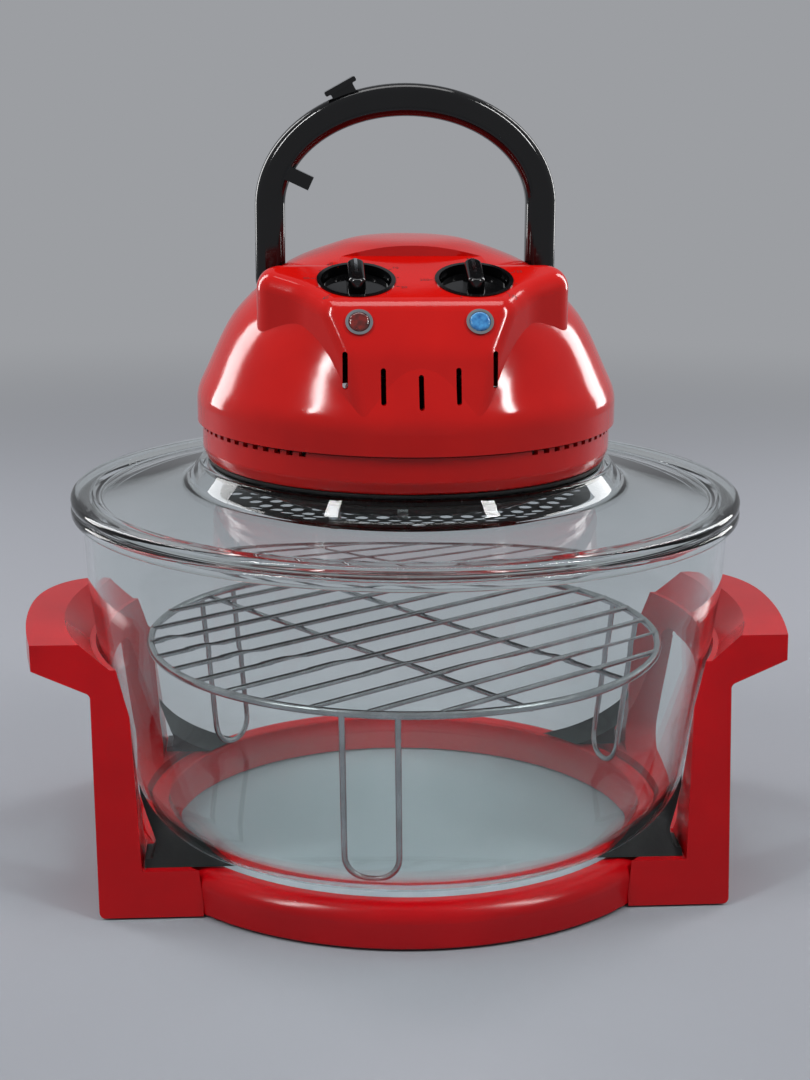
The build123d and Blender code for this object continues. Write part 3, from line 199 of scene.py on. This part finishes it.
# drawn stainless wire: greyer than plating, its highlights run long
rackSteel = workedMetal("stainless_steel_wire_drawn_welded", {
    "dark": "#A6A8AA", "light": "#BEC0C3", "mottleMm": 16, "smearMm": 7, "roughLow": 0.12, "roughHigh": 0.22,
    "grainMm": 2, "grainHeightMm": 0.01})

# barrel zinc: even pale grey with blurred reflections
zincSteel = workedMetal("zinc_plated_steel_barrelled", {
    "dark": "#9B9C9A", "light": "#B4B5B2", "mottleMm": 6, "smearMm": 4, "roughLow": 0.22, "roughHigh": 0.36,
    "grainMm": 1.5, "grainHeightMm": 0.02})

# steel painted brown black for the shade inside the head's lamp chamber, clouded, still a metal at its edges
shadePaintedSteel = workedMetal("stainless_steel_pierced_painted_shade", {
    "dark": "#1B1816", "light": "#2B2623", "mottleMm": 26, "smearMm": 9, "roughLow": 0.24, "roughHigh": 0.4,
    "grainMm": 2, "grainHeightMm": 0.02})

# rolled sheet: silvery, with soft wide reflections
rolledAluminium = workedMetal("aluminium_sheet_rolled_bright", {
    "dark": "#B9BABC", "light": "#CDCECF", "mottleMm": 14, "smearMm": 8, "roughLow": 0.16, "roughHigh": 0.28,
    "grainMm": 2, "grainHeightMm": 0.015})

# stacked laminations under varnish: dark, dull and finely layered, the layers drawn as a 0.5 mm grain
motorIron = workedMetal("silicon_steel_laminations_varnished", {
    "dark": "#3A3A3C", "light": "#4A4A4C", "mottleMm": 5, "smearMm": 4, "roughLow": 0.4, "roughHigh": 0.55,
    "grainMm": 0.5, "grainHeightMm": 0.05})

# bent less than solid glass would, so what stands behind the walls shows where a thin wall shows it
bowlGlass = clearGlass("soda_lime_glass_pressed_tempered", {
    "dark": "#F1F6F5", "light": "#F8FBFA", "mottleMm": 80, "waveMm": 46, "waveHeightMm": 0.05, "ior": 1.3,
    "gloss": 0.3, "rough": 0.0, "shadow": "#E9EEEE"})

# the stain keeps the lamp's glare down: clear brown, darker where it is thick
quartzGlass = clearGlass("fused_quartz_tube_brown_stained", {
    "dark": "#6B2A18", "light": "#8A3D24", "mottleMm": 12, "waveMm": 10, "waveHeightMm": 0.02, "ior": 1.46,
    "gloss": 0.5, "rough": 0.05, "shadow": "#7A4A38"})


def tintedLens(name, look):
    # moulded acrylic lens: deep clear tint with a wet shine, partly seen through
    material, tree, output = emptyMaterial(name)
    coords = addNode(tree, "ShaderNodeTexCoord").outputs["Object"]
    shader = addNode(tree, "ShaderNodeBsdfPrincipled", {
        "IOR": look["ior"], "Transmission Weight": 0.3, "Coat Weight": 0.8, "Coat Roughness": 0.03,
    }, {
        "Base Color": mottledColour(tree, coords, look["dark"], look["light"], look["mottleMm"]),
        "Roughness": noiseRange(tree, coords, look["mottleMm"], 0.06, 0.14),
        "Normal": noiseBump(tree, coords, look["waveMm"], look["waveHeightMm"]),
    })
    tree.links.new(shader.outputs["BSDF"], output.inputs["Surface"])
    return material


redLens = tintedLens("dark_red_acrylic_lens_moulded", {
    "dark": "#3E0B07", "light": "#8A1C10", "mottleMm": 3, "waveMm": 2, "waveHeightMm": 0.08, "ior": 1.49})
blueLens = tintedLens("blue_acrylic_lens_moulded", {
    "dark": "#1560A8", "light": "#4FA8E8", "mottleMm": 3, "waveMm": 2, "waveHeightMm": 0.08, "ior": 1.49})
print("stage: materials made")

nodeMaterials = {
    redAbs: ["base_ring", "right_side_frame", "left_side_frame"],
    headAbs: ["lower_housing", "upper_housing"],
    blackPhenolic: ["handle_bow", "handle_cover", "handle_button", "timer_knob", "temperature_knob",
                    "timer_well_liner", "temperature_well_liner"],
    blackNylon: ["front_right_cradle", "front_left_cradle", "rear_right_cradle", "rear_left_cradle",
                 "mains_inlet", "terminal_block", "safety_switch", "timer_unit", "thermostat_unit"],
    whiteNylon: ["switch_plunger"],
    blackSilicone: ["rubber_feet", "lid_gasket"],
    steatite: ["lamp_end_caps"],
    fibreBoard: ["insulation_disc"],
    copperWinding: ["motor_coil"],
    chromePlate: ["timer_pointer", "temperature_pointer", "inlet_pins", "guard_standoffs"],
    rackSteel: ["wire_rack", "lamp_bezels"],
    zincSteel: ["frame_screws", "clamp_screws", "housing_screws", "guard_screws", "motor_posts",
                "handle_pivot_pins", "motor_shaft", "fan_nut", "shaft_bushes", "lamp_clips",
                "chassis_plate", "motor_plate", "motor_bracket"],
    # the guard and the clamp ring take the steel painted dark for the shade inside the lamp chamber
    shadePaintedSteel: ["guard_plate", "clamp_ring"],
    rolledAluminium: ["reflector_dish", "hot_air_fan", "cooling_fan"],
    motorIron: ["motor_stator", "motor_rotor"],
    bowlGlass: ["glass_bowl", "glass_lid"],
    quartzGlass: ["lamp_tube"],
    redLens: ["power_lamp_lens"],
    blueLens: ["heat_lamp_lens"],
}
for material, names in nodeMaterials.items():
    for name in names:
        nodes[name].data.materials.clear()
        nodes[name].data.materials.append(material)
print("stage: solids finished")


def linkPiece(name, data, material, body):
    # a piece of this file's own, riding on its body and taking the finish it is given
    piece = bpy.data.objects.new(name, data)
    bpy.context.scene.collection.objects.link(piece)
    piece.data.materials.append(material)
    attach(piece, body)
    return piece


def roundedPath(points, steps=6):
    # points are (across, up, rounding) in mm; each corner turns into an arc
    path = []
    count = len(points)
    for i, (x, z, rounding) in enumerate(points):
        corner = Vector((x, z))
        if rounding <= 0:
            path.append(corner)
            continue
        before = (Vector(points[i - 1][:2]) - corner).normalized()
        after = (Vector(points[(i + 1) % count][:2]) - corner).normalized()
        half = before.angle(after) / 2
        reach = rounding / tan(half)
        centre = corner + (before + after).normalized() * (rounding / sin(half))
        first = corner + before * reach - centre
        last = corner + after * reach - centre
        sweep = first.angle_signed(last)
        for step in range(steps + 1):
            turn = -sweep * step / steps
            path.append(centre + Vector((first.x * cos(turn) - first.y * sin(turn),
                                         first.x * sin(turn) + first.y * cos(turn))))
    return path


def turnedMesh(name, profile, segments=192):
    # a closed half section, in mm, turned about the upright axis
    vertices, rings = [], []
    for point in profile:
        if point.x < 0.001:
            rings.append([len(vertices)])
            vertices.append((0, 0, point.y * mm))
        else:
            start = len(vertices)
            for k in range(segments):
                a = 2 * pi * k / segments
                vertices.append((point.x * mm * cos(a), point.x * mm * sin(a), point.y * mm))
            rings.append(list(range(start, start + segments)))
    faces = []
    for i, here in enumerate(rings):
        there = rings[(i + 1) % len(rings)]
        if len(here) == 1 and len(there) == 1:
            continue
        for k in range(segments):
            n = (k + 1) % segments
            loop = [here[k % len(here)], here[n % len(here)], there[n % len(there)], there[k % len(there)]]
            faces.append(list(dict.fromkeys(loop)))
    mesh = bpy.data.meshes.new(name)
    mesh.from_pydata(vertices, [], faces)
    mesh.validate()
    mesh.shade_smooth()
    mesh.set_sharp_from_angle(angle=radians(40))
    return mesh


# all sizes of the pieces below are in mm
bowlSizes = {"floor": 18.0, "footRadius": 145.3, "corner": 44.0, "shoulderRadius": 162.5, "shoulder": 145.0,
             "topRadius": 164.5, "glass": 4.0, "flangeRadius": 170.0, "flange": 5.6, "rim": 186.6}


def bowlSection(s):
    inner = s["topRadius"] - s["glass"]
    corner = s["corner"]
    return roundedPath([
        (0, s["floor"], 0),
        (s["footRadius"], s["floor"], corner),
        (s["shoulderRadius"], s["shoulder"], 60),
        (s["topRadius"], s["rim"] - s["flange"], 1.2),
        (s["flangeRadius"], s["rim"] - s["flange"], 2.4),
        (s["flangeRadius"], s["rim"], 2.0),
        (inner, s["rim"], 0.8),
        (s["shoulderRadius"] - s["glass"], s["shoulder"], 60),
        (s["footRadius"] - s["glass"], s["floor"] + s["glass"], corner - s["glass"]),
        (0, s["floor"] + s["glass"], 0),
    ], steps=14)


bowlMesh = turnedMesh("bowl_glass", bowlSection(bowlSizes))
bowl = linkPiece("bowl_glass", bowlMesh, bowlGlass, "bowl")
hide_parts("glass_bowl")

lidSizes = {"rimTop": 192.6, "rimRadius": 170.0, "rimInner": 158.5, "seat": 186.6, "seatGap": 0.02,
            "stepIn": 3.5, "stepDown": 2, "slopeTop": 197.0, "neckRadius": 104.5, "neckRoot": 112.0,
            "neckTop": 207.0, "lip": 4.0, "lipTuck": 0.5, "rootTuck": 0.4, "opening": 92.0, "glass": 4.5,
            "skirtRadius": 159.5, "skirt": 4.1, "skirtWide": 4}


def lidSection(s):
    underNeck = s["neckTop"] - s["lip"]
    skirtFoot = s["seat"] - s["skirt"]
    return roundedPath([
        (s["rimRadius"], s["seat"] + s["seatGap"], 2.0),
        (s["rimRadius"], s["rimTop"], 2.8),
        (s["rimInner"], s["rimTop"], 1.5),
        (s["rimInner"] - s["stepIn"], s["rimTop"] - s["stepDown"], 2),
        (s["neckRoot"], s["slopeTop"], 8),
        (s["neckRadius"], s["neckTop"], 2),
        (s["opening"], s["neckTop"], 1.2),
        (s["opening"], underNeck, 1.2),
        (s["neckRadius"] - s["lip"] + s["lipTuck"], underNeck, 2),
        (s["neckRoot"] - s["glass"], s["slopeTop"] - s["glass"] + s["rootTuck"], 6),
        (s["rimInner"] - s["skirtWide"], s["rimTop"] - s["stepDown"] - s["glass"], 1),
        (s["skirtRadius"] - s["skirtWide"], skirtFoot, 1.2),
        (s["skirtRadius"], skirtFoot, 1.2),
        (s["skirtRadius"], s["seat"] + s["seatGap"], 0),
    ], steps=5)


lid = linkPiece("lid_glass", turnedMesh("lid_glass", lidSection(lidSizes)), bowlGlass, "lid")
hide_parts("glass_lid")
print("stage: glass turned")


gasketSizes = {"outer": 100.4, "inner": 93.0, "under": 207.0, "over": 209.0, "gap": 0.02, "edge": 0.7}


def gasketSection(s):
    under, over = s["under"] + s["gap"], s["over"] - s["gap"]
    return roundedPath([
        (s["outer"], under, s["edge"]),
        (s["outer"], over, s["edge"]),
        (s["inner"], over, s["edge"]),
        (s["inner"], under, s["edge"]),
    ], steps=4)


gasketMesh = turnedMesh("gasket_pressed", gasketSection(gasketSizes))
gasket = linkPiece("gasket_pressed", gasketMesh, blackSilicone, "lid")
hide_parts("lid_gasket")

guardSizes = {"radius": 95.0, "under": 187.6, "sheet": 0.4, "hole": 3.3, "pitch": 10.2, "holesTo": 88.5,
              "postCircle": 85.5, "postAngles": (-117, 3, 123), "postClear": 6.6}  # hole is a radius


def addCircle(curve, x, y, radius):
    spline = curve.splines.new("BEZIER")
    spline.bezier_points.add(3)
    spline.use_cyclic_u = True
    for point, (dx, dy) in zip(spline.bezier_points, ((1, 0), (0, 1), (-1, 0), (0, -1))):
        point.co = ((x + radius * dx) * mm, (y + radius * dy) * mm, 0)
        point.handle_left_type = point.handle_right_type = "AUTO"


def meshFromCurve(name, curve):
    # the curve's filled shape as a plain mesh
    drawn = bpy.data.objects.new(name + "_curve", curve)
    bpy.context.scene.collection.objects.link(drawn)
    bpy.context.view_layer.update()
    mesh = bpy.data.meshes.new_from_object(drawn.evaluated_get(bpy.context.evaluated_depsgraph_get()))
    mesh.name = name
    bpy.data.objects.remove(drawn)
    return mesh


def piercedDisc(name, s):
    # a sheet disc pierced in staggered rows, left whole round its posts
    curve = bpy.data.curves.new(name, "CURVE")
    curve.dimensions = "2D"
    curve.fill_mode = "BOTH"
    curve.extrude = s["sheet"] * mm / 2
    curve.resolution_u = 5
    addCircle(curve, 0, 0, s["radius"])
    curve.splines[0].resolution_u = 40
    posts = [(s["postCircle"] * cos(radians(a)), s["postCircle"] * sin(radians(a))) for a in s["postAngles"]]
    rowPitch = s["pitch"] * sin(pi / 3)
    rows = floor(s["holesTo"] / rowPitch)
    columns = floor(s["holesTo"] / s["pitch"]) + 1
    for row in range(-rows, rows + 1):
        y = row * rowPitch
        shift = s["pitch"] / 2 if row % 2 else 0
        for k in range(-columns, columns + 1):
            x = k * s["pitch"] + shift
            clear = all(hypot(x - px, y - py) > s["postClear"] for px, py in posts)
            if hypot(x, y) < s["holesTo"] and clear:
                addCircle(curve, x, y, s["hole"])
    mesh = meshFromCurve(name, curve)
    mesh.transform(Matrix.Translation((0, 0, (s["under"] + s["sheet"] / 2) * mm)))
    return mesh


guardMesh = piercedDisc("guard_pierced", guardSizes)
# the pierced guard is painted dark for the shade inside the lamp chamber
guard = linkPiece("guard_pierced", guardMesh, shadePaintedSteel, "lid")
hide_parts("guard_plate")
print("stage: lamp guard pierced")


# the print round the knobs: the slope of the panel, then the ticks and figures
printSizes = {"knobX": 28.0, "knobY": -55.5, "backY": -30.0, "backZ": 312.0, "kneeY": -78.0, "kneeZ": 295.8,
              "frontY": -75.5, "reach": 3.0, "lift": 0.04, "tickIn": 19.6, "tickOut": 21.4, "shortBy": 0.8,
              "tickWide": 0.45, "digit": 2.3, "digitCircle": 23.6}
scales = {
    "timer": {"side": -1, "sweep": 330, "steps": 12, "labels": ("0", "10", "20", "30", "40", "50", "60")},
    "heat": {"side": 1, "sweep": 270, "steps": 8, "labels": ("65", "125", "175", "200", "250")},
}
inkLook = {"dark": "#2A0406", "light": "#3A070A", "mottleMm": 5, "smearMm": 4, "roughLow": 0.35,
           "roughHigh": 0.5, "rippleMm": 0.8, "rippleHeightMm": 0.004, "ior": 1.5}
padInk = mouldedPlastic("black_pad_print_ink_cured", inkLook)  # thin dull ink over the gloss
panelTilt = atan2(printSizes["backZ"] - printSizes["kneeZ"], printSizes["backY"] - printSizes["kneeY"])


def textMesh(name, words, height):
    letters = bpy.data.curves.new(name, "FONT")
    letters.body = words
    letters.size = height * mm * 1.35  # a figure fills about three quarters of its line
    letters.align_x = "CENTER"
    letters.align_y = "CENTER"
    letters.resolution_u = 3
    return meshFromCurve(name, letters)


def printedScale(name, scale, s):
    # ticks and figures as one flat print, clockwise from the top as the knob turns,
    # left out where the panel rounds over at the front; drawn level, then laid on the panel
    parts = []
    count = scale["steps"]
    for k in range(count + 1):
        a = radians(90 - scale["sweep"] * k / count)
        inner, outer, half = s["tickIn"], s["tickOut"] - (s["shortBy"] if k % 2 else 0), s["tickWide"] / 2
        if s["knobY"] + outer * sin(a) < s["frontY"]:
            continue
        corners = [(inner, -half), (outer, -half), (outer, half), (inner, half)]
        points = [((r * cos(a) - w * sin(a)) * mm, (r * sin(a) + w * cos(a)) * mm, 0) for r, w in corners]
        parts.append((points, [(0, 1, 2, 3)]))
    for k, words in enumerate(scale["labels"]):
        a = radians(90 - scale["sweep"] * k / (len(scale["labels"]) - 1))
        if s["knobY"] + s["digitCircle"] * sin(a) < s["frontY"]:
            continue
        figure = textMesh(name + "_figure", words, s["digit"])
        place = Vector((s["digitCircle"] * mm * cos(a), s["digitCircle"] * mm * sin(a), 0))
        parts.append(([tuple(v.co + place) for v in figure.vertices],
                      [tuple(f.vertices) for f in figure.polygons]))
    vertices, faces = [], []
    for points, loops in parts:
        start = len(vertices)
        vertices += points
        faces += [tuple(start + i for i in loop) for loop in loops]
    mesh = bpy.data.meshes.new(name)
    mesh.from_pydata(vertices, [], faces)
    z = s["backZ"] - (s["backY"] - s["knobY"]) * sin(panelTilt) / cos(panelTilt)
    centre = Vector((scale["side"] * s["knobX"], s["knobY"], z)) * mm
    mesh.transform(Matrix.Translation(centre) @ Matrix.Rotation(panelTilt, 4, "X"))
    up = Vector((0, -sin(panelTilt), cos(panelTilt))) * mm
    shell = nodes["upper_housing"]
    for vertex in mesh.vertices:  # the pad presses the print onto the shell, over its rounded edges too
        found, spot = shell.ray_cast(vertex.co + up * s["reach"], -up)[:2]
        vertex.co = spot + up * s["lift"] if found else vertex.co
    return mesh


for name, scale in scales.items():
    linkPiece(name + "_scale", printedScale(name + "_scale", scale, printSizes), padInk, "lid")
print("stage: scales printed")

# grey paper that fades into an even grey room; distances in metres from the middle
stageLook = {"paper": "#8A8C92", "beyond": "#9C9EA2", "radius": 9.0, "fadeFrom": 0.75, "fadeTo": 1.9}


def seenRays(tree):
    # 1 for what the camera sees straight, in a reflection or through glass
    rays = addNode(tree, "ShaderNodeLightPath")
    seen = addNode(tree, "ShaderNodeMath", {"operation": "MAXIMUM"},
                   {0: rays.outputs["Is Camera Ray"], 1: rays.outputs["Is Glossy Ray"]})
    return addNode(tree, "ShaderNodeMath", {"operation": "MAXIMUM"},
                   {0: seen.outputs["Value"], 1: rays.outputs["Is Transmission Ray"]}).outputs["Value"]


def floorDisc(name, radius, segments=96):
    turns = [2 * pi * k / segments for k in range(segments)]
    rim = [(radius * cos(turn), radius * sin(turn), 0) for turn in turns]
    mesh = bpy.data.meshes.new(name)
    mesh.from_pydata(rim, [], [tuple(range(segments))])
    disc = bpy.data.objects.new(name, mesh)
    bpy.context.scene.collection.objects.link(disc)
    return disc


def fadingPaper(name, look):
    # matt paper under the oven, which runs out into the even grey of the room
    material, tree, output = emptyMaterial(name)
    coords = addNode(tree, "ShaderNodeTexCoord").outputs["Object"]
    away = addNode(tree, "ShaderNodeVectorMath", {"operation": "LENGTH"}, {0: coords})
    fade = addNode(tree, "ShaderNodeMapRange", {
        "interpolation_type": "SMOOTHSTEP", "From Min": look["fadeFrom"], "From Max": look["fadeTo"],
    }, {"Value": away.outputs["Value"]})
    share = addNode(tree, "ShaderNodeMath", {"operation": "MULTIPLY"},
                    {0: fade.outputs["Result"], 1: seenRays(tree)})
    paper = addNode(tree, "ShaderNodeBsdfPrincipled", {
        "Base Color": linearFromHex(look["paper"]), "Roughness": 0.9, "Specular IOR Level": 0.1})
    beyond = addNode(tree, "ShaderNodeEmission", {"Color": linearFromHex(look["beyond"]), "Strength": 1.0})
    mixed = mixedByRay(tree, paper.outputs["BSDF"], beyond.outputs["Emission"], share.outputs["Value"])
    tree.links.new(mixed, output.inputs["Surface"])
    return material


studioFloor = floorDisc("paper_floor", stageLook["radius"])
studioFloor.data.materials.append(fadingPaper("background_paper_matte", stageLook))

worldLook = {"light": "#E4E6EA", "strength": 0.36}  # the soft fill from all round
world = bpy.data.worlds.new("studio")
bpy.context.scene.world = world
world.use_nodes = True
tree = world.node_tree
tree.nodes.clear()
fill = addNode(tree, "ShaderNodeBackground", {"Color": linearFromHex(worldLook["light"]),
                                              "Strength": worldLook["strength"]})
room = addNode(tree, "ShaderNodeBackground", {"Color": linearFromHex(stageLook["beyond"]), "Strength": 1.0})
mixed = mixedByRay(tree, fill.outputs["Background"], room.outputs["Background"], seenRays(tree))
worldOutput = tree.nodes.new("ShaderNodeOutputWorld")
tree.links.new(mixed, worldOutput.inputs["Surface"])

# softboxes: places and sizes in metres, power in watts
lampLook = {
    "left_rim": {"place": (-1.05, 0.75, 0.8), "aim": (0, 0, 0.25), "size": (0.35, 1.4), "power": 12},
    "right_rim": {"place": (1.05, 0.75, 0.8), "aim": (0, 0, 0.25), "size": (0.35, 1.4), "power": 12},
    "left_key": {"place": (-0.95, -0.6, 1.25), "aim": (0, 0, 0.2), "size": (0.13, 0.8), "power": 12},
    "right_key": {"place": (0.95, -0.6, 1.25), "aim": (0, 0, 0.2), "size": (0.13, 0.8), "power": 12},
    "top": {"place": (0.0, 0.1, 1.9), "aim": (0, 0, 0.2), "size": (1.1, 0.6), "power": 8},
}
for name, look in lampLook.items():
    lamp = bpy.data.lights.new(name, "AREA")
    lamp.shape = "RECTANGLE"
    lamp.size, lamp.size_y = look["size"]
    lamp.energy = look["power"]
    holder = bpy.data.objects.new(name, lamp)
    bpy.context.scene.collection.objects.link(holder)
    holder.visible_transmission = False  # the lamp panel itself isn't seen through the glass
    holder.location = look["place"]
    holder.rotation_euler = (Vector(look["aim"]) - Vector(look["place"])).to_track_quat("-Z", "Y").to_euler()

cameraLook = {"distance": 1.0, "height": 0.4132, "orbit": 4.2, "pitch": 14.07, "roll": 0.38, "lens": 66.4}
camera = bpy.data.objects.new("camera", bpy.data.cameras.new("camera"))
bpy.context.scene.collection.objects.link(camera)
camera.data.lens = cameraLook["lens"]
camera.data.sensor_width = 36
orbit = Matrix.Rotation(radians(-cameraLook["orbit"]), 3, "Z")
camera.location = orbit @ Vector((0, -cameraLook["distance"], cameraLook["height"]))
camera.rotation_euler = (orbit @ Matrix.Rotation(radians(90 - cameraLook["pitch"]), 3, "X")
                         @ Matrix.Rotation(radians(cameraLook["roll"]), 3, "Z")).to_euler()
camera.data.clip_start = 0.05
bpy.context.scene.camera = camera
bpy.context.scene.view_settings.view_transform = "Standard"
print("stage: camera and lamps set")
